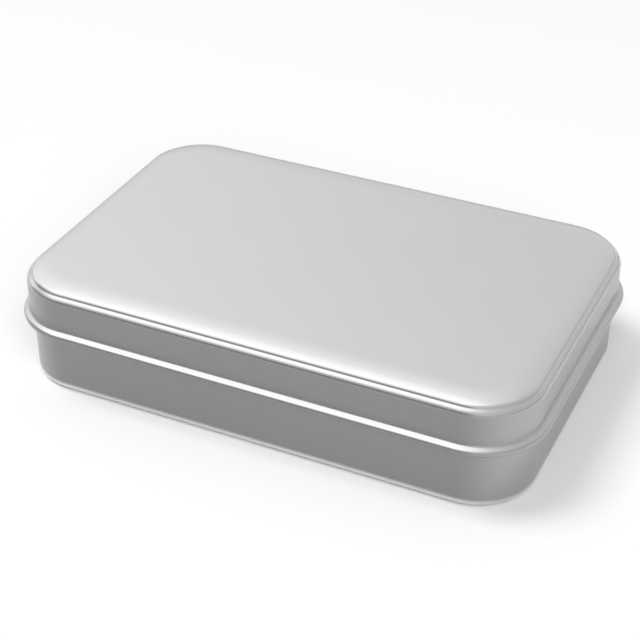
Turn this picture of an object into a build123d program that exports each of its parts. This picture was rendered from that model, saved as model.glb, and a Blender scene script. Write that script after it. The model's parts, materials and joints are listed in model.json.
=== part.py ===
"""A hinged mint tin: a drawn base, a drawn lid and the wire that joins them at the back.

Millimetres. +Z is up, +X runs along the tin and the lid's front is at -Y.
The origin is the middle of the underside, and the tin is closed at rest.
"""

import math
import os

from build123d import *

os.makedirs("parts", exist_ok=True)

# The sheet and the base's outside
sheet_thickness = 0.25
base_length = 91.7
base_width = 59.4
base_corner_radius = 10.25

# The closed tin
closed_height = 20.4
hinge_height = 11.92

# The base's foot and the floor raised inside it
foot_radius = 1.5
foot_width = 2.6
floor_rise = 0.45
floor_step_radius = 0.6
floor_step_angle = 40.0

# The base's rim, set in a little and curled inwards
rim_radius = 0.5
rim_turn = 285.0
rim_set_in = 0.12
neck_radius = 6.0
neck_height = 0.4
rim_gap = 0.15

# The lid's skirt, which flares out at its lower edge and is curled down and under as a bead
lid_clearance = 0.3
flare_radius = 0.65
flare_angle = 65.0
bead_radius = 0.675
bead_turn = 260.0

# The lid's edge: a shoulder, a sloping ledge, a crease and a crown that rolls off from the flat top
shoulder_radius = 1.35
ledge_width = 0.35
ledge_angle = 37.0
crease_radius = 0.15
crown_edge_radius = 1.0
crown_edge_angle = 66.0
crown_tail_radius = 11.0
crown_tail_angle = 18.0

# The hinge: two tongues of the base's rear wall, curled round a wire in the lid's bead
tongue_width = 8.0
tongue_inset = 11.6
tongue_bend_radius = 0.25
tongue_turn = 270.0
punch_gap = 0.1
notch_gap = 0.3
notch_rise = 1.0
wire_clearance = 0.03
wire_end_gap = 1.6

# Cuts run this far past what they cut
overrun = 1.0

# What follows for the lid
half_sheet = sheet_thickness / 2
lid_offset = lid_clearance + sheet_thickness
lid_length = base_length + 2 * lid_offset
lid_width = base_width + 2 * lid_offset
lid_corner_radius = base_corner_radius + lid_offset
flare_bend_radius = flare_radius + half_sheet
bead_curl_radius = bead_radius - half_sheet
flare_share = math.tan(math.radians(flare_angle / 2))
flare_slope = bead_curl_radius / flare_share - flare_bend_radius * flare_share
flare_rise = (
    (flare_bend_radius + bead_curl_radius) * math.sin(math.radians(flare_angle))
    + flare_slope * math.cos(math.radians(flare_angle))
)

# What follows for the corners and the hinge
corner_x = base_length / 2 - base_corner_radius
corner_y = base_width / 2 - base_corner_radius
rear_wall_y = base_width / 2
hinge_y = lid_width / 2 + bead_radius - sheet_thickness
wire_radius = bead_radius - sheet_thickness - wire_clearance

# The tongues and the wire's ends stand in from where the rear corners begin
tongue_x = corner_x - tongue_inset
wire_length = 2 * (corner_x - wire_end_gap)


def fall(radius, flatter_angle, steeper_angle):
    """How far an arc falls between two slopes."""
    return radius * (math.cos(math.radians(flatter_angle)) - math.cos(math.radians(steeper_angle)))


def run(radius, flatter_angle, steeper_angle):
    """How far an arc runs level between two slopes."""
    return radius * (math.sin(math.radians(steeper_angle)) - math.sin(math.radians(flatter_angle)))


# The lid's edge, from the flat top down and outwards, on its outer face
tail_fall = fall(crown_tail_radius, 0, crown_tail_angle)
crown_fall = tail_fall + fall(crown_edge_radius, crown_tail_angle, crown_edge_angle)
crease_fall = fall(crease_radius, ledge_angle, crown_edge_angle)
ledge_fall = ledge_width * math.sin(math.radians(ledge_angle))
shoulder_fall = fall(shoulder_radius, ledge_angle, 90)
skirt_top = closed_height - crown_fall - crease_fall - ledge_fall - shoulder_fall
panel_inset = (
    run(crown_tail_radius, 0, crown_tail_angle)
    + run(crown_edge_radius, crown_tail_angle, crown_edge_angle)
    + run(crease_radius, ledge_angle, crown_edge_angle)
    + ledge_width * math.cos(math.radians(ledge_angle))
    + run(shoulder_radius, ledge_angle, 90)
)

# The base's rim stops a gap below where the lid's ledge meets its shoulder
base_height = skirt_top + shoulder_fall - sheet_thickness - rim_gap
neck_angle = math.degrees(math.acos(1 - rim_set_in / (2 * neck_radius)))
neck_length = 2 * run(neck_radius, 0, neck_angle)
wall_top = base_height - rim_radius - neck_height - neck_length

# The base's step from its foot up to its floor
step_slope_height = floor_rise - 2 * fall(floor_step_radius, 0, floor_step_angle)
step_slope = step_slope_height / math.sin(math.radians(floor_step_angle))
floor_inset = (
    foot_radius
    + foot_width
    + 2 * run(floor_step_radius, 0, floor_step_angle)
    + step_slope * math.cos(math.radians(floor_step_angle))
)


def ring(section):
    """The sheet's section taken round the tin: one quarter, mirrored twice."""
    end_plane = Plane(origin=(corner_x, corner_y, 0), x_dir=(1, 0, 0), z_dir=(0, -1, 0))
    side_plane = Plane(origin=(corner_x, corner_y, 0), x_dir=(0, 1, 0), z_dir=(1, 0, 0))
    with BuildSketch(end_plane, mode=Mode.PRIVATE) as end_section:
        add(section)
    with BuildSketch(side_plane, mode=Mode.PRIVATE) as side_section:
        add(section)
    revolve(end_section.sketch, axis=Axis((corner_x, corner_y, 0), (0, 0, 1)), revolution_arc=90)
    extrude(end_section.sketch, amount=corner_y)
    extrude(side_section.sketch, amount=-corner_x)
    mirror(about=Plane.YZ)
    mirror(about=Plane.XZ)


def flat_panel(underside_height, length, width, corner_radius):
    """The flat sheet that closes a ring."""
    with BuildSketch(Plane.XY.offset(underside_height), mode=Mode.PRIVATE) as outline:
        RectangleRounded(length, width, corner_radius)
    extrude(outline.sketch, amount=sheet_thickness)


# The base's section, along the middle of the sheet: the step and the foot, then the wall and the rim
with BuildSketch() as base_section:
    with BuildLine():
        foot = Line(
            (base_corner_radius - foot_radius, half_sheet),
            (base_corner_radius - foot_radius - foot_width, half_sheet),
        )
        rise = JernArc(foot @ 1, (-1, 0), floor_step_radius, -floor_step_angle)
        slope = PolarLine(rise @ 1, step_slope, direction=rise % 1)
        level = JernArc(slope @ 1, slope % 1, floor_step_radius, floor_step_angle)
        turn_up = JernArc(foot @ 0, (1, 0), foot_radius - half_sheet, 90)
        wall = Line(turn_up @ 1, (base_corner_radius - half_sheet, wall_top))
        lean = JernArc(wall @ 1, (0, 1), neck_radius, neck_angle)
        upright = JernArc(lean @ 1, lean % 1, neck_radius, -neck_angle)
        neck = Line(upright @ 1, (base_corner_radius - rim_set_in - half_sheet, base_height - rim_radius))
        JernArc(neck @ 1, (0, 1), rim_radius - half_sheet, rim_turn)
    trace(line_width=sheet_thickness)

# Each hinge tongue is struck out of a window in the rear wall that is as tall as the tongue is long
window_bottom = hinge_height - bead_radius - tongue_bend_radius
window_height = (
    math.radians(90) * (tongue_bend_radius + half_sheet)
    + hinge_y - rear_wall_y - tongue_bend_radius
    + math.radians(tongue_turn) * bead_curl_radius
)

# A tongue's section, along the middle of the sheet: from the rear wall out and round the wire
with BuildSketch() as tongue_section:
    with BuildLine():
        bend = JernArc(
            (rear_wall_y - half_sheet, window_bottom), (0, 1), tongue_bend_radius + half_sheet, -90
        )
        strap = Line(bend @ 1, (hinge_y, hinge_height - bead_curl_radius))
        JernArc(strap @ 1, (1, 0), bead_curl_radius, tongue_turn)
    trace(line_width=sheet_thickness)

with BuildPart() as base_shell:
    ring(base_section.sketch)
    flat_panel(
        floor_rise,
        base_length - 2 * floor_inset,
        base_width - 2 * floor_inset,
        base_corner_radius - floor_inset,
    )
    with BuildSketch(Plane.XZ.offset(-rear_wall_y - overrun)):
        with GridLocations(2 * tongue_x, 0, 2, 1):
            with Locations((0, window_bottom)):
                Rectangle(
                    tongue_width + 2 * punch_gap, window_height, align=(Align.CENTER, Align.MIN)
                )
    extrude(amount=sheet_thickness + 2 * overrun, mode=Mode.SUBTRACT)
    for tongue_middle in (-tongue_x, tongue_x):
        with BuildSketch(Plane.YZ.offset(tongue_middle)):
            add(tongue_section.sketch)
        extrude(amount=tongue_width / 2, both=True)

base_shell.part.label = "base_shell"
export_step(base_shell.part, "parts/base_shell.step")

# The lid's section, along the middle of the sheet: from the flat top out to the skirt, the flare and the bead
with BuildSketch() as lid_section:
    with BuildLine():
        tail = JernArc(
            (lid_corner_radius - panel_inset, closed_height - half_sheet),
            (1, 0),
            crown_tail_radius - half_sheet,
            -crown_tail_angle,
        )
        edge = JernArc(
            tail @ 1, tail % 1, crown_edge_radius - half_sheet, crown_tail_angle - crown_edge_angle
        )
        crease = JernArc(edge @ 1, edge % 1, crease_radius + half_sheet, crown_edge_angle - ledge_angle)
        ledge = PolarLine(crease @ 1, ledge_width, direction=crease % 1)
        shoulder = JernArc(ledge @ 1, ledge % 1, shoulder_radius - half_sheet, ledge_angle - 90)
        skirt = Line(shoulder @ 1, (lid_corner_radius - half_sheet, hinge_height + flare_rise))
        flare = JernArc(skirt @ 1, (0, -1), flare_bend_radius, flare_angle)
        drop = PolarLine(flare @ 1, flare_slope, direction=flare % 1)
        JernArc(drop @ 1, drop % 1, bead_curl_radius, -bead_turn)
    trace(line_width=sheet_thickness)

with BuildPart() as lid_shell:
    ring(lid_section.sketch)
    flat_panel(
        closed_height - sheet_thickness,
        lid_length - 2 * panel_inset,
        lid_width - 2 * panel_inset,
        lid_corner_radius - panel_inset,
    )
    with BuildSketch(Plane.XZ.offset(-lid_width / 2 - 2 * bead_radius)):
        with GridLocations(2 * tongue_x, 0, 2, 1):
            with Locations((0, hinge_height + notch_rise)):
                Rectangle(
                    tongue_width + 2 * notch_gap,
                    notch_rise + bead_radius + overrun,
                    align=(Align.CENTER, Align.MAX),
                )
    extrude(amount=2 * bead_radius + sheet_thickness + lid_clearance, mode=Mode.SUBTRACT)

lid_shell.part.label = "lid_shell"
export_step(lid_shell.part, "parts/lid_shell.step")

with BuildPart() as hinge_wire:
    with BuildSketch(Plane.YZ):
        with Locations((hinge_y, hinge_height)):
            Circle(wire_radius)
    extrude(amount=wire_length / 2, both=True)

hinge_wire.part.label = "hinge_wire"
export_step(hinge_wire.part, "parts/hinge_wire.step")

print("lid", lid_length, lid_width, "base height", round(base_height, 3))
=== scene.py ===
"""The looks of a hinged mint tin: two drawn sheets of satin tinplate and the wire between them."""
import json
import math

import bmesh
import bpy
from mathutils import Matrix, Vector


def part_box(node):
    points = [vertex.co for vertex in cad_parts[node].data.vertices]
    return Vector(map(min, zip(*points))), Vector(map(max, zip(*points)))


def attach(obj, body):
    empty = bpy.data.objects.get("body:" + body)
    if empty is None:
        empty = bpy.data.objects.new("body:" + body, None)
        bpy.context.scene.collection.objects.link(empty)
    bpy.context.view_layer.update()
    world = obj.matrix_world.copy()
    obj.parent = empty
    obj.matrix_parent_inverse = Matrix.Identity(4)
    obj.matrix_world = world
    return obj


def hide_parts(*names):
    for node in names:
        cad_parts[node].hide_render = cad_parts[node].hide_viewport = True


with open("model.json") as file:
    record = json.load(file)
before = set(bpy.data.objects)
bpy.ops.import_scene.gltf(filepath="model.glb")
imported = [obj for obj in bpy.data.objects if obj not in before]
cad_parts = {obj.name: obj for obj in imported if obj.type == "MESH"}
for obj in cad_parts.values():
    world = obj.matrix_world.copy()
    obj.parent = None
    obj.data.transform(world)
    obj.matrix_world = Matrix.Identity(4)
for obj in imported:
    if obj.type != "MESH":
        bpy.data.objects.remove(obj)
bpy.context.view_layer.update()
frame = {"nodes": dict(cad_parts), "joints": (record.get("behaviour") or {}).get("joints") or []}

MM = 0.001

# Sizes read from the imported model
hinge = Vector(frame["joints"][0]["pos_m"])
lid_low, lid_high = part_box("lid_shell")
base_low, base_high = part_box("base_shell")
bead_radius = hinge.z - lid_low.z

# The sheet and its corners
sheet = 0.25 * MM
half_sheet = sheet / 2
lid_clearance = 0.3 * MM
base_corner_radius = 10.25 * MM
lid_corner_radius = base_corner_radius + lid_clearance + sheet

# Half sizes at the lid's skirt and at the base's wall
lid_half_length = lid_high.x - 2 * bead_radius + sheet
lid_half_width = -lid_low.y - 2 * bead_radius + sheet
base_half_length = base_high.x
base_half_width = -base_low.y

# The lid's edge, from the flat top outwards
crown_tail_radius = 11 * MM
crown_tail_angle = 18
crown_edge_radius = 1.0 * MM
crown_edge_angle = 66
crease_radius = 0.15 * MM
ledge_width = 0.35 * MM
ledge_angle = 37
shoulder_radius = 1.35 * MM
flare_radius = 0.65 * MM
flare_angle = 65
bead_turn = 260

# The base's floor, foot and rim
floor_rise = 0.45 * MM
floor_step_radius = 0.6 * MM
floor_step_angle = 40
foot_width = 2.6 * MM
foot_radius = 1.5 * MM
neck_radius = 6 * MM
neck_height = 0.4 * MM
rim_radius = 0.5 * MM
rim_turn = 285
rim_set_in = 0.12 * MM

# The hinge's tongues, from the rear wall out and round the wire
tongue_width = 8 * MM
tongue_x = 24 * MM
tongue_bend_radius = 0.25 * MM
tongue_turn = 270
tongue_strap = hinge.y - base_half_width - tongue_bend_radius

# The windows that the tongues are struck out of
punch_gap = 0.1 * MM
window_bottom = hinge.z - bead_radius - tongue_bend_radius
window_height = (
    math.radians(90) * (tongue_bend_radius + half_sheet)
    + tongue_strap
    + math.radians(tongue_turn) * (bead_radius - half_sheet)
)
window_depth = 4 * sheet

# The notches in the lid's rear bead
notch_gap = 0.3 * MM
notch_rise = 1.0 * MM
notch_height = notch_rise + 2 * bead_radius
notch_depth = 4 * bead_radius

# How finely the bends are divided, and how much of the flat sheet is swept with them
arc_step = 5
corner_steps = 40
flat_band = 0.5 * MM

# Points nearer than this are one point, and edges that turn by more degrees than this stay sharp
same_point = 0.0001 * MM
sharp_angle = 35

# How bright the metal is: the lid's rolled top, whose tone the bead crest also gets as a painted
# highlight; the base's floor, foot and rim, painted brighter as a painted highlight; and the drawn
# long and short walls, painted darker as a painted reflection of dark surroundings, the short walls
# less dark
bright_tin = 0.56
base_foot_rim_highlight_tin = 0.7
long_wall_painted_shade = 0.275
end_wall_painted_shade = 0.442
drawn_roughness = 0.36
bright_roughness = 0.2

# How much less the painted highlight on the crest is at the tin's ends
end_highlight_change = -0.6

# How far the grain, the soft clouds and the hairlines change the metal
grain_tone = 0.02
cloud_tone = 0.02
grain_roughness = 0.08
cloud_roughness = 0.06
hairline_roughness = 0.12
hairline_depth = -0.4
grain_height = 0.0005 * MM

# Soft bands of height where the metal is brighter: the lid's top at its own tone, and the crests
# and foot with a painted highlight
past_the_top = 9 * MM
bead_crest = {"Low": hinge.z + 0.12 * MM, "High": hinge.z + 1.25 * MM, "Soft": 0.35 * MM}
lid_face = {"Low": lid_high.z - 2.3 * MM, "High": lid_high.z + past_the_top, "Soft": 0.7 * MM}
foot_face = {"Low": -1 * MM, "High": 1.9 * MM, "Soft": 0.8 * MM}
rim_crest = {"Low": base_high.z - 2.2 * MM, "High": base_high.z + past_the_top, "Soft": 1.2 * MM}

# The studio's brightness rises along this direction, and to the right it falls off slowly
room_slope = (-0.83, -0.04, 0.955)
room_shift = 0.353
right_slope = -0.33
right_shift = 1.0
right_cap = 1.005

# The brightest part overhead, between two closenesses to its direction
overhead = (-0.33, -0.1, 0.939)
overhead_edge = {"From Min": 0.845, "From Max": 0.935}
overhead_level = 1.85

# The dark side low on the camera's left: how close to its direction, and how high
dark_side = (-0.643, -0.766, 0)
dark_edge = {"From Min": 0.5, "From Max": 0.8, "To Min": 0, "To Max": 0.66}
dark_height = {"From Min": 0.3, "From Max": 0.85, "To Min": 1, "To Max": 0}

# The studio is darker just above the floor, up to this height of its direction
horizon_edge = {"From Min": 0.0, "From Max": 0.2, "To Min": 0.65, "To Max": 1}

# The share of the studio's light that diffuse surfaces get
dome_share = 0.4

# The floor
floor_reach = 3
floor_albedo = 0.83

# The camera, whose lens and sensor are in millimetres
camera_place = (96.77 * MM, -209.41 * MM, 161.64 * MM)
azimuth = math.radians(25.067)
elevation = math.radians(33.857)
lens_length = 88.24
sensor_width = 36
nearest_seen = 0.01


def walk(start, heading, moves):
    """The middle of a bent sheet as (outwards, up, heading) at each step.

    A heading is an angle in degrees from outwards towards up. A move is a length, or a
    radius and an angle, which is negative for a turn to the right.
    """
    x, y = start
    steps = [(x, y, heading)]
    for move in moves:
        radius, turn = move if isinstance(move, tuple) else (None, 0)
        count = max(1, math.ceil(abs(turn) / arc_step))
        length = 2 * radius * math.sin(math.radians(abs(turn) / count / 2)) if radius else move
        for _ in range(count):
            heading += turn / count / 2
            x += length * math.cos(math.radians(heading))
            y += length * math.sin(math.radians(heading))
            heading += turn / count / 2
            steps.append((x, y, heading))
    return steps


def outline(steps):
    """Both faces of the sheet along its middle: out on the left face, back on the right one."""
    left, right = [], []
    for x, y, heading in steps:
        nx, ny = -math.sin(math.radians(heading)), math.cos(math.radians(heading))
        left.append((x + half_sheet * nx, y + half_sheet * ny))
        right.append((x - half_sheet * nx, y - half_sheet * ny))
    return left + right[::-1]


def lid_section():
    """The lid's sheet: flat top, crown, ledge and skirt, then the flare out to the bead."""
    crown = [
        flat_band,
        (crown_tail_radius - half_sheet, -crown_tail_angle),
        (crown_edge_radius - half_sheet, crown_tail_angle - crown_edge_angle),
        (crease_radius + half_sheet, crown_edge_angle - ledge_angle),
        ledge_width,
        (shoulder_radius - half_sheet, ledge_angle - 90),
    ]
    bend = flare_radius + half_sheet
    curl = bead_radius - half_sheet
    share = math.tan(math.radians(flare_angle / 2))
    slope = curl / share - bend * share
    flare = [(bend, flare_angle), slope, (curl, -bead_turn)]
    out, up, _ = walk((0, 0), 0, crown)[-1]
    start = (-half_sheet - out, lid_high.z - half_sheet)
    turned = math.radians(flare_angle)
    flare_rise = (bend + curl) * math.sin(turned)
    skirt = start[1] + up - hinge.z - flare_rise - slope * math.cos(turned)
    return outline(walk(start, 0, crown + [skirt] + flare))


def base_section():
    """The base's sheet, from its floor down to the foot, up the wall and round the rim."""
    foot_fall = floor_step_radius * (1 - math.cos(math.radians(floor_step_angle)))
    slope = (floor_rise - 2 * foot_fall) / math.sin(math.radians(floor_step_angle))
    foot = [
        flat_band,
        (floor_step_radius, -floor_step_angle),
        slope,
        (floor_step_radius, floor_step_angle),
        foot_width,
        (foot_radius - half_sheet, 90),
    ]
    neck_angle = math.degrees(math.acos(1 - rim_set_in / (2 * neck_radius)))
    neck = [(neck_radius, neck_angle), (neck_radius, -neck_angle), neck_height]
    out = walk((0, 0), 0, foot)[-1][0]
    start = (-half_sheet - out, floor_rise + half_sheet)
    neck_length = 2 * neck_radius * math.sin(math.radians(neck_angle)) + neck_height
    wall = base_high.z - rim_radius - neck_length - foot_radius
    return outline(walk(start, 0, foot + [wall] + neck + [(rim_radius - half_sheet, rim_turn)]))


def tongue_section():
    """A hinge tongue's sheet, from the rear wall out and round the wire, as (back, up)."""
    moves = [
        (tongue_bend_radius + half_sheet, -90),
        tongue_strap,
        (bead_radius - half_sheet, tongue_turn),
    ]
    return outline(walk((base_half_width - half_sheet, window_bottom), 90, moves))


def node(tree, kind, settings=None, inputs=None):
    """A node with its settings and plain input values."""
    made = tree.nodes.new(kind)
    for key, value in (settings or {}).items():
        setattr(made, key, value)
    for key, value in (inputs or {}).items():
        made.inputs[key].default_value = value
    return made


def chain(tree, *links):
    """Links pairs of sockets."""
    for source, target in links:
        tree.links.new(source, target)


def new_tree(name, sizes):
    """A geometry tree with named inputs for its sizes, and its group input and output nodes."""
    tree = bpy.data.node_groups.new(name, "GeometryNodeTree")
    tree.interface.new_socket("Geometry", in_out="INPUT", socket_type="NodeSocketGeometry")
    for label, kind in sizes.items():
        tree.interface.new_socket(label, in_out="INPUT", socket_type=kind)
    tree.interface.new_socket("Geometry", in_out="OUTPUT", socket_type="NodeSocketGeometry")
    return tree, tree.nodes.new("NodeGroupInput"), tree.nodes.new("NodeGroupOutput")


def drawn_ring_tree():
    """Takes the sheet's section round a rectangle with rounded corners."""
    tree, given, made = new_tree("drawn ring", {
        "Length": "NodeSocketFloat",
        "Width": "NodeSocketFloat",
        "Corner Radius": "NodeSocketFloat",
        "Corner Steps": "NodeSocketInt",
        "Material": "NodeSocketMaterial",
    })
    box = node(tree, "GeometryNodeCurvePrimitiveQuadrilateral")
    fillet = node(tree, "GeometryNodeFilletCurve", {"mode": "POLY"})
    upright = node(tree, "GeometryNodeSetCurveNormal", {"mode": "Z_UP"})
    section = node(tree, "GeometryNodeMeshToCurve")
    sweep = node(tree, "GeometryNodeCurveToMesh")
    paint = node(tree, "GeometryNodeSetMaterial")
    chain(
        tree,
        (given.outputs["Length"], box.inputs["Width"]),
        (given.outputs["Width"], box.inputs["Height"]),
        (box.outputs["Curve"], fillet.inputs["Curve"]),
        (given.outputs["Corner Steps"], fillet.inputs["Count"]),
        (given.outputs["Corner Radius"], fillet.inputs["Radius"]),
        (fillet.outputs["Curve"], upright.inputs["Curve"]),
        (upright.outputs["Curve"], sweep.inputs["Curve"]),
        (given.outputs["Geometry"], section.inputs["Mesh"]),
        (section.outputs["Curve"], sweep.inputs["Profile Curve"]),
        (sweep.outputs["Mesh"], paint.inputs["Geometry"]),
        (given.outputs["Material"], paint.inputs["Material"]),
        (paint.outputs["Geometry"], made.inputs["Geometry"]),
    )
    return tree


def pair_cut_tree():
    """Cuts the same box out of the rear wall at both tongues."""
    tree, given, made = new_tree("cut at both tongues", {
        "First Middle": "NodeSocketVector",
        "Spacing": "NodeSocketVector",
        "Size": "NodeSocketVector",
        "Material": "NodeSocketMaterial",
    })
    places = node(tree, "GeometryNodeMeshLine", inputs={"Count": 2})
    cutter = node(tree, "GeometryNodeMeshCube")
    stamp = node(tree, "GeometryNodeInstanceOnPoints")
    real = node(tree, "GeometryNodeRealizeInstances")
    cut = node(tree, "GeometryNodeMeshBoolean", {"operation": "DIFFERENCE", "solver": "EXACT"})
    paint = node(tree, "GeometryNodeSetMaterial")
    chain(
        tree,
        (given.outputs["First Middle"], places.inputs["Start Location"]),
        (given.outputs["Spacing"], places.inputs["Offset"]),
        (given.outputs["Size"], cutter.inputs["Size"]),
        (places.outputs["Mesh"], stamp.inputs["Points"]),
        (cutter.outputs["Mesh"], stamp.inputs["Instance"]),
        (stamp.outputs["Instances"], real.inputs["Geometry"]),
        (given.outputs["Geometry"], cut.inputs[0]),
        (real.outputs["Geometry"], cut.inputs[1]),
        (cut.outputs["Mesh"], paint.inputs["Geometry"]),
        (given.outputs["Material"], paint.inputs["Material"]),
        (paint.outputs["Geometry"], made.inputs["Geometry"]),
    )
    return tree


def tongues_tree():
    """Takes the tongue's section along its width, at both places."""
    tree, given, made = new_tree("hinge tongues", {
        "Width": "NodeSocketFloat",
        "First Middle": "NodeSocketVector",
        "Spacing": "NodeSocketVector",
        "Material": "NodeSocketMaterial",
    })
    half = node(tree, "ShaderNodeMath", {"operation": "MULTIPLY"}, {1: 0.5})
    minus = node(tree, "ShaderNodeMath", {"operation": "MULTIPLY"}, {1: -1})
    right_end = node(tree, "ShaderNodeCombineXYZ")
    left_end = node(tree, "ShaderNodeCombineXYZ")
    line = node(tree, "GeometryNodeCurvePrimitiveLine")
    upright = node(tree, "GeometryNodeSetCurveNormal", {"mode": "Z_UP"})
    section = node(tree, "GeometryNodeMeshToCurve")
    sweep = node(tree, "GeometryNodeCurveToMesh", inputs={"Fill Caps": True})
    places = node(tree, "GeometryNodeMeshLine", inputs={"Count": 2})
    stamp = node(tree, "GeometryNodeInstanceOnPoints")
    real = node(tree, "GeometryNodeRealizeInstances")
    paint = node(tree, "GeometryNodeSetMaterial")
    chain(
        tree,
        (given.outputs["Width"], half.inputs[0]),
        (half.outputs[0], minus.inputs[0]),
        (half.outputs[0], right_end.inputs["X"]),
        (minus.outputs[0], left_end.inputs["X"]),
        (right_end.outputs[0], line.inputs["Start"]),
        (left_end.outputs[0], line.inputs["End"]),
        (line.outputs["Curve"], upright.inputs["Curve"]),
        (upright.outputs["Curve"], sweep.inputs["Curve"]),
        (given.outputs["Geometry"], section.inputs["Mesh"]),
        (section.outputs["Curve"], sweep.inputs["Profile Curve"]),
        (given.outputs["First Middle"], places.inputs["Start Location"]),
        (given.outputs["Spacing"], places.inputs["Offset"]),
        (places.outputs["Mesh"], stamp.inputs["Points"]),
        (sweep.outputs["Mesh"], stamp.inputs["Instance"]),
        (stamp.outputs["Instances"], real.inputs["Geometry"]),
        (real.outputs["Geometry"], paint.inputs["Geometry"]),
        (given.outputs["Material"], paint.inputs["Material"]),
        (paint.outputs["Geometry"], made.inputs["Geometry"]),
    )
    return tree


def edge_object(name, points, closed):
    """A mesh of edges along points that are given as (outwards, up)."""
    mesh = bpy.data.meshes.new(name)
    edges = [(i, i + 1) for i in range(len(points) - 1)]
    if closed:
        edges.append((len(points) - 1, 0))
    mesh.from_pydata([(out, -up, 0) for out, up in points], edges, [])
    piece = bpy.data.objects.new(name, mesh)
    bpy.context.scene.collection.objects.link(piece)
    return piece


def grow(piece, tree, sizes):
    """Runs a geometry tree on a piece with the sizes named, and keeps the result as its mesh."""
    modifier = piece.modifiers.new(tree.name, "NODES")
    modifier.node_group = tree
    for item in tree.interface.items_tree:
        if item.in_out == "INPUT" and item.name in sizes:
            modifier[item.identifier] = sizes[item.name]
    graph = bpy.context.evaluated_depsgraph_get()
    graph.update()
    mesh = bpy.data.meshes.new_from_object(piece.evaluated_get(graph))
    piece.modifiers.remove(modifier)
    piece.data = mesh


def edit(piece, change):
    """Applies a bmesh change to the piece's mesh."""
    bm = bmesh.new()
    bm.from_mesh(piece.data)
    change(bm)
    bm.to_mesh(piece.data)
    bm.free()


def close_panels(bm):
    """Fills a drawn ring's two open loops with the sheet's flat faces, and turns faces outwards."""
    bmesh.ops.holes_fill(bm, edges=[e for e in bm.edges if e.is_boundary])
    bmesh.ops.recalc_face_normals(bm, faces=bm.faces)


def merge_and_turn_out(bm):
    """Joins doubles and turns every face outwards."""
    bmesh.ops.remove_doubles(bm, verts=bm.verts, dist=same_point)
    bmesh.ops.recalc_face_normals(bm, faces=bm.faces)


def smooth(piece):
    """Smooth shading that keeps the sheet's cut edges sharp."""
    piece.data.shade_smooth()
    piece.data.set_sharp_from_angle(angle=math.radians(sharp_angle))


def effect_group(name, inputs, outputs):
    """A shader group with named number inputs and outputs, and its input and output nodes."""
    tree = bpy.data.node_groups.new(name, "ShaderNodeTree")
    for label, default in inputs.items():
        socket = tree.interface.new_socket(label, in_out="INPUT", socket_type="NodeSocketFloat")
        socket.default_value = default
    for label in outputs:
        tree.interface.new_socket(label, in_out="OUTPUT", socket_type="NodeSocketFloat")
    return tree, tree.nodes.new("NodeGroupInput"), tree.nodes.new("NodeGroupOutput")


def grain_group():
    """Fine straight grain round 0: noise stretched along X, Y and Z by the scales given."""
    scales_given = {"Along X": 1, "Along Y": 1, "Along Z": 1}
    tree, given, made = effect_group("stretched grain", scales_given, ["Grain"])
    place = node(tree, "ShaderNodeTexCoord")
    stretch = node(tree, "ShaderNodeVectorMath", {"operation": "MULTIPLY"})
    scales = node(tree, "ShaderNodeCombineXYZ")
    noise_look = {"Scale": 1, "Detail": 3, "Roughness": 0.6}
    noise = node(tree, "ShaderNodeTexNoise", inputs=noise_look)
    level = node(tree, "ShaderNodeMath", {"operation": "SUBTRACT"}, {1: 0.5})
    chain(
        tree,
        (given.outputs["Along X"], scales.inputs["X"]),
        (given.outputs["Along Y"], scales.inputs["Y"]),
        (given.outputs["Along Z"], scales.inputs["Z"]),
        (place.outputs["Object"], stretch.inputs[0]),
        (scales.outputs[0], stretch.inputs[1]),
        (stretch.outputs[0], noise.inputs["Vector"]),
        (noise.outputs["Fac"], level.inputs[0]),
        (level.outputs[0], made.inputs["Grain"]),
    )
    return tree


def marks_group():
    """Faint handling marks: hairlines in soft patches, 1 on a hairline and 0 elsewhere."""
    sizes = {"Spacing": 0.02, "Width": 0.004, "Turn": 0.5}
    tree, given, made = effect_group("handling marks", sizes, ["Marks"])
    place = node(tree, "ShaderNodeTexCoord")
    turned = node(tree, "ShaderNodeVectorRotate", {"rotation_type": "Z_AXIS"})
    bend = node(tree, "ShaderNodeTexNoise", inputs={"Scale": 35, "Detail": 1})
    sway = node(tree, "ShaderNodeVectorMath", {"operation": "SCALE"}, {"Scale": 0.012})
    bent = node(tree, "ShaderNodeVectorMath", {"operation": "ADD"})
    apart = node(tree, "ShaderNodeSeparateXYZ")
    across = node(tree, "ShaderNodeMath", {"operation": "DIVIDE"})
    phase = node(tree, "ShaderNodeMath", {"operation": "FRACT"})
    line = node(tree, "ShaderNodeMath", {"operation": "LESS_THAN"})
    patches = node(tree, "ShaderNodeTexNoise", inputs={"Scale": 90, "Detail": 2})
    patch_edge = {"From Min": 0.52, "From Max": 0.7}
    some = node(tree, "ShaderNodeMapRange", {"interpolation_type": "SMOOTHSTEP"}, patch_edge)
    both = node(tree, "ShaderNodeMath", {"operation": "MULTIPLY"})
    chain(
        tree,
        (place.outputs["Object"], turned.inputs["Vector"]),
        (given.outputs["Turn"], turned.inputs["Angle"]),
        (place.outputs["Object"], bend.inputs["Vector"]),
        (bend.outputs["Color"], sway.inputs[0]),
        (turned.outputs[0], bent.inputs[0]),
        (sway.outputs[0], bent.inputs[1]),
        (bent.outputs[0], apart.inputs[0]),
        (apart.outputs["Y"], across.inputs[0]),
        (given.outputs["Spacing"], across.inputs[1]),
        (across.outputs[0], phase.inputs[0]),
        (phase.outputs[0], line.inputs[0]),
        (given.outputs["Width"], line.inputs[1]),
        (place.outputs["Object"], patches.inputs["Vector"]),
        (patches.outputs["Fac"], some.inputs["Value"]),
        (line.outputs[0], both.inputs[0]),
        (some.outputs["Result"], both.inputs[1]),
        (both.outputs[0], made.inputs["Marks"]),
    )
    return tree


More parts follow.
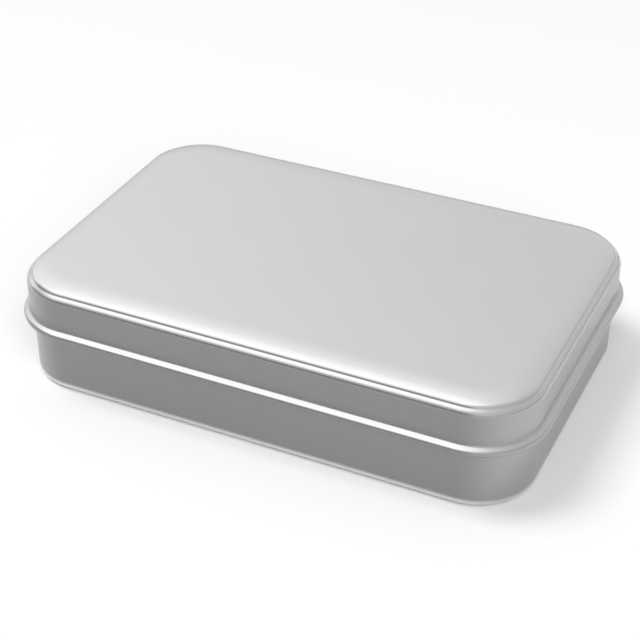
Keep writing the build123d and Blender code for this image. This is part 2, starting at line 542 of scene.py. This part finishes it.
def height_band_group():
    """1 between two heights on the piece and 0 outside them, with soft ends."""
    heights = {"Low": 0, "High": 0.01, "Soft": 0.001}
    tree, given, made = effect_group("height band", heights, ["Band"])
    place = node(tree, "ShaderNodeTexCoord")
    apart = node(tree, "ShaderNodeSeparateXYZ")
    rise = node(tree, "ShaderNodeMapRange", {"interpolation_type": "SMOOTHSTEP"})
    drop = node(tree, "ShaderNodeMapRange", {"interpolation_type": "SMOOTHSTEP"})
    low_end = node(tree, "ShaderNodeMath", {"operation": "ADD"})
    high_end = node(tree, "ShaderNodeMath", {"operation": "SUBTRACT"})
    both = node(tree, "ShaderNodeMath", {"operation": "MULTIPLY"})
    flip = node(tree, "ShaderNodeMath", {"operation": "SUBTRACT"}, {0: 1})
    chain(
        tree,
        (place.outputs["Object"], apart.inputs[0]),
        (apart.outputs["Z"], rise.inputs["Value"]),
        (apart.outputs["Z"], drop.inputs["Value"]),
        (given.outputs["Low"], rise.inputs["From Min"]),
        (given.outputs["Low"], low_end.inputs[0]),
        (given.outputs["Soft"], low_end.inputs[1]),
        (low_end.outputs[0], rise.inputs["From Max"]),
        (given.outputs["High"], drop.inputs["From Max"]),
        (given.outputs["High"], high_end.inputs[0]),
        (given.outputs["Soft"], high_end.inputs[1]),
        (high_end.outputs[0], drop.inputs["From Min"]),
        (drop.outputs["Result"], flip.inputs[1]),
        (rise.outputs["Result"], both.inputs[0]),
        (flip.outputs[0], both.inputs[1]),
        (both.outputs[0], made.inputs["Band"]),
    )
    return tree


def end_walls_group():
    """1 on the two short walls and 0 on the long ones, with a soft change round the corners."""
    tree, given, made = effect_group("end walls", {"From": 0.036, "To": 0.045}, ["Ends"])
    place = node(tree, "ShaderNodeTexCoord")
    apart = node(tree, "ShaderNodeSeparateXYZ")
    away = node(tree, "ShaderNodeMath", {"operation": "ABSOLUTE"})
    ends = node(tree, "ShaderNodeMapRange", {"interpolation_type": "SMOOTHSTEP"})
    chain(
        tree,
        (place.outputs["Object"], apart.inputs[0]),
        (apart.outputs["X"], away.inputs[0]),
        (away.outputs[0], ends.inputs["Value"]),
        (given.outputs["From"], ends.inputs["From Min"]),
        (given.outputs["To"], ends.inputs["From Max"]),
        (ends.outputs["Result"], made.inputs["Ends"]),
    )
    return tree


def place_group(tree, group, values):
    """A group node in a material with its own values."""
    return node(tree, "ShaderNodeGroup", {"node_tree": group}, values)


def weigh(tree, value, weight, start):
    """A value times its weight, added to what comes before it."""
    made = node(tree, "ShaderNodeMath", {"operation": "MULTIPLY_ADD"}, {1: weight})
    chain(tree, (value, made.inputs[0]), (start, made.inputs[2]))
    return made.outputs[0]


def new_metal(name):
    """A metal material, its tree and its shader."""
    material = bpy.data.materials.new(name)
    material.use_nodes = True
    shader = material.node_tree.nodes["Principled BSDF"]
    shader.inputs["Metallic"].default_value = 1
    return material, material.node_tree, shader


def dress(tree, shader, tone, roughness, height):
    """Gives a shader its grey tone, its roughness and a fine relief from a height round 0."""
    colour = node(tree, "ShaderNodeCombineColor")
    relief = node(tree, "ShaderNodeBump", {}, {"Strength": 1, "Distance": grain_height})
    chain(
        tree,
        *[(tone, colour.inputs[channel]) for channel in ("Red", "Green", "Blue")],
        (colour.outputs[0], shader.inputs["Base Color"]),
        (roughness, shader.inputs["Roughness"]),
        (height, relief.inputs["Height"]),
        (relief.outputs["Normal"], shader.inputs["Normal"]),
    )


def tinplate(name, crest, flat_face, face_tone):
    """Satin tinplate: rougher and grained upright where drawn, smoother on its crest and flat face.

    Its colour is painted darker on the drawn walls, a painted reflection of dark surroundings, and
    lighter on its crest and flat face, partly as a painted highlight. The sheet was rolled along X,
    so that its grain crosses the long walls and climbs the short ones; the short walls are painted
    less dark than the long ones, also a painted reflection.
    """
    material, tree, shader = new_metal(name)
    on_crest = place_group(tree, height_band, crest)
    on_face = place_group(tree, height_band, flat_face)
    at_ends = place_group(tree, end_walls, {
        "From": base_half_length - base_corner_radius,
        "To": base_half_length,
    })
    rolled = place_group(tree, stretched_grain, {"Along X": 90, "Along Y": 3800, "Along Z": 90})
    drawn = place_group(tree, stretched_grain, {"Along X": 2600, "Along Y": 2600, "Along Z": 110})
    cloudy = place_group(tree, stretched_grain, {"Along X": 70, "Along Y": 70, "Along Z": 70})
    hairlines = place_group(tree, handling_marks, {"Spacing": 0.0113, "Width": 0.006, "Turn": 0.6})
    # The crest's band is a painted highlight, made smaller at the tin's ends
    ends_less_highlight = node(
        tree, "ShaderNodeMath", {"operation": "MULTIPLY_ADD"}, {1: end_highlight_change, 2: 1}
    )
    crest_painted_highlight = node(tree, "ShaderNodeMath", {"operation": "MULTIPLY"})
    bright = node(tree, "ShaderNodeMath", {"operation": "ADD", "use_clamp": True})
    grain = node(tree, "ShaderNodeMix", {"data_type": "FLOAT"})
    # The walls' tone is painted shade: darker on the long walls than on the short ones, a painted
    # reflection
    wall_range = {"To Min": long_wall_painted_shade, "To Max": end_wall_painted_shade}
    painted_wall_shade = node(tree, "ShaderNodeMapRange", {}, wall_range)
    tone = node(tree, "ShaderNodeMapRange", {}, {"To Max": face_tone})
    sheen_range = {"To Min": drawn_roughness, "To Max": bright_roughness}
    sheen = node(tree, "ShaderNodeMapRange", {}, sheen_range)
    chain(
        tree,
        (at_ends.outputs["Ends"], ends_less_highlight.inputs[0]),
        (on_crest.outputs["Band"], crest_painted_highlight.inputs[0]),
        (ends_less_highlight.outputs[0], crest_painted_highlight.inputs[1]),
        (crest_painted_highlight.outputs[0], bright.inputs[0]),
        (on_face.outputs["Band"], bright.inputs[1]),
        (on_face.outputs["Band"], grain.inputs["Factor"]),
        (drawn.outputs["Grain"], grain.inputs["A"]),
        (rolled.outputs["Grain"], grain.inputs["B"]),
        (at_ends.outputs["Ends"], painted_wall_shade.inputs["Value"]),
        (painted_wall_shade.outputs["Result"], tone.inputs["To Min"]),
        (bright.outputs[0], tone.inputs["Value"]),
        (bright.outputs[0], sheen.inputs["Value"]),
    )
    streaks = grain.outputs["Result"]
    clouds = cloudy.outputs["Grain"]
    marks = hairlines.outputs["Marks"]
    shade = weigh(tree, streaks, grain_tone, tone.outputs["Result"])
    shade = weigh(tree, clouds, cloud_tone, shade)
    rough = weigh(tree, streaks, grain_roughness, sheen.outputs["Result"])
    rough = weigh(tree, clouds, cloud_roughness, rough)
    rough = weigh(tree, marks, hairline_roughness, rough)
    height = weigh(tree, marks, hairline_depth, streaks)
    dress(tree, shader, shade, rough, height)
    return material


def drawn_wire(name):
    """Bright drawn wire with fine lines along it."""
    material, tree, shader = new_metal(name)
    lines = place_group(tree, stretched_grain, {"Along X": 120, "Along Y": 9000, "Along Z": 9000})
    streaks = lines.outputs["Grain"]
    grain_range = {"From Min": -0.5, "From Max": 0.5}
    level = node(tree, "ShaderNodeMapRange", {}, {**grain_range, "To Min": 0.46, "To Max": 0.58})
    rough = node(tree, "ShaderNodeMapRange", {}, {**grain_range, "To Min": 0.18, "To Max": 0.34})
    chain(tree, (streaks, level.inputs["Value"]), (streaks, rough.inputs["Value"]))
    dress(tree, shader, level.outputs["Result"], rough.outputs["Result"], streaks)
    return material


def studio_light():
    """A studio round the tin: bright behind and above, darker low down on the camera's side.

    Metal and the camera see all of it, and diffuse surfaces get only a share.
    """
    world = bpy.data.worlds.new("studio")
    bpy.context.scene.world = world
    world.use_nodes = True
    tree = world.node_tree
    background = tree.nodes["Background"]
    background.inputs["Color"].default_value = (1, 1, 1, 1)
    soft = {"interpolation_type": "SMOOTHSTEP"}
    place = node(tree, "ShaderNodeTexCoord")
    apart = node(tree, "ShaderNodeSeparateXYZ")
    slope = node(tree, "ShaderNodeVectorMath", {"operation": "DOT_PRODUCT"}, {1: room_slope})
    shift = node(tree, "ShaderNodeMath", {"operation": "ADD"}, {1: room_shift})
    right_fall = node(
        tree, "ShaderNodeMath", {"operation": "MULTIPLY_ADD"}, {1: right_slope, 2: right_shift}
    )
    right_side = node(tree, "ShaderNodeMath", {"operation": "MINIMUM"}, {1: right_cap})
    room = node(tree, "ShaderNodeMath", {"operation": "MAXIMUM"})
    level = node(tree, "ShaderNodeVectorMath", {"operation": "MULTIPLY"}, {1: (1, 1, 0)})
    round_about = node(tree, "ShaderNodeVectorMath", {"operation": "NORMALIZE"})
    flag = node(tree, "ShaderNodeVectorMath", {"operation": "DOT_PRODUCT"}, {1: dark_side})
    dark = node(tree, "ShaderNodeMapRange", soft, dark_edge)
    under = node(tree, "ShaderNodeMapRange", soft, dark_height)
    both = node(tree, "ShaderNodeMath", {"operation": "MULTIPLY"})
    left_over = node(tree, "ShaderNodeMath", {"operation": "SUBTRACT"}, {0: 1})
    dimmed = node(tree, "ShaderNodeMath", {"operation": "MULTIPLY"})
    horizon = node(tree, "ShaderNodeMapRange", soft, horizon_edge)
    lowered = node(tree, "ShaderNodeMath", {"operation": "MULTIPLY"})
    top = node(tree, "ShaderNodeVectorMath", {"operation": "DOT_PRODUCT"}, {1: overhead})
    lift = node(tree, "ShaderNodeMapRange", soft, overhead_edge)
    mix = node(tree, "ShaderNodeMix", {"data_type": "FLOAT"}, {"B": overhead_level})
    ray = node(tree, "ShaderNodeLightPath")
    seen = node(tree, "ShaderNodeMath", {"operation": "ADD"})
    shown = node(tree, "ShaderNodeMath", {"operation": "ADD"})
    share = node(tree, "ShaderNodeMapRange", {}, {"To Min": dome_share, "To Max": 1})
    strength = node(tree, "ShaderNodeMath", {"operation": "MULTIPLY"})
    chain(
        tree,
        (place.outputs["Generated"], slope.inputs[0]),
        (place.outputs["Generated"], level.inputs[0]),
        (place.outputs["Generated"], apart.inputs[0]),
        (place.outputs["Generated"], top.inputs[0]),
        (slope.outputs["Value"], shift.inputs[0]),
        (shift.outputs[0], room.inputs[0]),
        (apart.outputs["X"], right_fall.inputs[0]),
        (right_fall.outputs[0], right_side.inputs[0]),
        (right_side.outputs[0], room.inputs[1]),
        (level.outputs[0], round_about.inputs[0]),
        (round_about.outputs[0], flag.inputs[0]),
        (flag.outputs["Value"], dark.inputs["Value"]),
        (apart.outputs["Z"], under.inputs["Value"]),
        (dark.outputs["Result"], both.inputs[0]),
        (under.outputs["Result"], both.inputs[1]),
        (both.outputs[0], left_over.inputs[1]),
        (room.outputs[0], dimmed.inputs[0]),
        (left_over.outputs[0], dimmed.inputs[1]),
        (apart.outputs["Z"], horizon.inputs["Value"]),
        (dimmed.outputs[0], lowered.inputs[0]),
        (horizon.outputs["Result"], lowered.inputs[1]),
        (top.outputs["Value"], lift.inputs["Value"]),
        (lift.outputs["Result"], mix.inputs["Factor"]),
        (lowered.outputs[0], mix.inputs["A"]),
        (ray.outputs["Is Camera Ray"], seen.inputs[0]),
        (ray.outputs["Is Glossy Ray"], seen.inputs[1]),
        (seen.outputs[0], shown.inputs[0]),
        (ray.outputs["Is Transmission Ray"], shown.inputs[1]),
        (shown.outputs[0], share.inputs["Value"]),
        (mix.outputs["Result"], strength.inputs[0]),
        (share.outputs["Result"], strength.inputs[1]),
        (strength.outputs[0], background.inputs["Strength"]),
    )


def softbox(name, direction, distance, size, power):
    """A rectangular lamp aimed at the tin, which doesn't show in the metal."""
    light = bpy.data.lights.new(name, "AREA")
    light.shape = "RECTANGLE"
    light.size, light.size_y = size
    light.energy = power
    lamp = bpy.data.objects.new(name, light)
    bpy.context.scene.collection.objects.link(lamp)
    where = Vector(direction).normalized()
    lamp.location = where * distance
    lamp.rotation_euler = where.to_track_quat("Z", "Y").to_euler()
    lamp.visible_glossy = False


# The finish: bright rolled tinplate that is rougher where it is drawn, with painted shade on its
# walls and painted highlights on its crests and foot, and the wire
height_band = height_band_group()
end_walls = end_walls_group()
stretched_grain = grain_group()
handling_marks = marks_group()
lid_tinplate = tinplate("lid_tinplate", bead_crest, lid_face, bright_tin)
base_tinplate = tinplate("base_tinplate", rim_crest, foot_face, base_foot_rim_highlight_tin)
bright_wire = drawn_wire("hinge_wire")

# The lid, with notches in its rear bead
ring_tree = drawn_ring_tree()
cut_tree = pair_cut_tree()
lid = edge_object("lid_sheet", lid_section(), closed=False)
grow(lid, ring_tree, {
    "Length": 2 * lid_half_length,
    "Width": 2 * lid_half_width,
    "Corner Radius": lid_corner_radius,
    "Corner Steps": corner_steps,
    "Material": lid_tinplate,
})
edit(lid, close_panels)
grow(lid, cut_tree, {
    "First Middle": (-tongue_x, hinge.y, hinge.z + notch_rise - notch_height / 2),
    "Spacing": (2 * tongue_x, 0, 0),
    "Size": (tongue_width + 2 * notch_gap, notch_depth, notch_height),
    "Material": lid_tinplate,
})
smooth(lid)

# The base, with windows in its rear wall
base = edge_object("base_sheet", base_section(), closed=False)
grow(base, ring_tree, {
    "Length": 2 * base_half_length,
    "Width": 2 * base_half_width,
    "Corner Radius": base_corner_radius,
    "Corner Steps": corner_steps,
    "Material": base_tinplate,
})
edit(base, close_panels)
grow(base, cut_tree, {
    "First Middle": (-tongue_x, base_half_width - half_sheet, window_bottom + window_height / 2),
    "Spacing": (2 * tongue_x, 0, 0),
    "Size": (tongue_width + 2 * punch_gap, window_depth, window_height),
    "Material": base_tinplate,
})
smooth(base)

# The two tongues that curl round the wire
tongues = edge_object("hinge_tongues", tongue_section(), closed=True)
grow(tongues, tongues_tree(), {
    "Width": tongue_width,
    "First Middle": (-tongue_x, 0, 0),
    "Spacing": (2 * tongue_x, 0, 0),
    "Material": base_tinplate,
})
edit(tongues, merge_and_turn_out)
smooth(tongues)

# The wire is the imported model's own, with its finish
wire = frame["nodes"]["hinge_wire"]
wire.data.materials.clear()
wire.data.materials.append(bright_wire)

for piece, body, slot in (
    (lid, "lid", "lid_tinplate"),
    (base, "base", "base_tinplate"),
    (tongues, "base", "base_tinplate"),
):
    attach(piece, body)
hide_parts("lid_shell")
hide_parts("base_shell")

# The white floor
floor_mesh = bpy.data.meshes.new("floor")
floor_mesh.from_pydata(
    [
        (-floor_reach, -floor_reach, 0),
        (floor_reach, -floor_reach, 0),
        (floor_reach, floor_reach, 0),
        (-floor_reach, floor_reach, 0),
    ],
    [],
    [(0, 1, 2, 3)],
)
floor = bpy.data.objects.new("floor", floor_mesh)
bpy.context.scene.collection.objects.link(floor)
floor_paint = bpy.data.materials.new("floor")
floor_paint.use_nodes = True
floor_shader = floor_paint.node_tree.nodes["Principled BSDF"]
floor_shader.inputs["Base Color"].default_value = (floor_albedo, floor_albedo, floor_albedo, 1)
floor_shader.inputs["Roughness"].default_value = 1
floor_shader.inputs["Specular IOR Level"].default_value = 0
floor_mesh.materials.append(floor_paint)

# The light: the studio, a softbox from the upper left and a wider one from the front right
studio_light()
softbox("key", (-0.42, -0.12, 0.9), distance=1.8, size=(0.7, 0.7), power=13.6)
softbox("fill", (0.42, -0.62, 0.66), distance=1.8, size=(1.4, 1.4), power=24)

# The camera, at the photograph's angle
camera = bpy.data.cameras.new("camera")
camera.lens = lens_length
camera.sensor_width = sensor_width
camera.clip_start = nearest_seen
viewer = bpy.data.objects.new("camera", camera)
bpy.context.scene.collection.objects.link(viewer)
viewer.location = camera_place
viewer.rotation_euler = (math.radians(90) - elevation, 0, azimuth)
bpy.context.scene.camera = viewer
bpy.context.scene.view_settings.view_transform = "Standard"
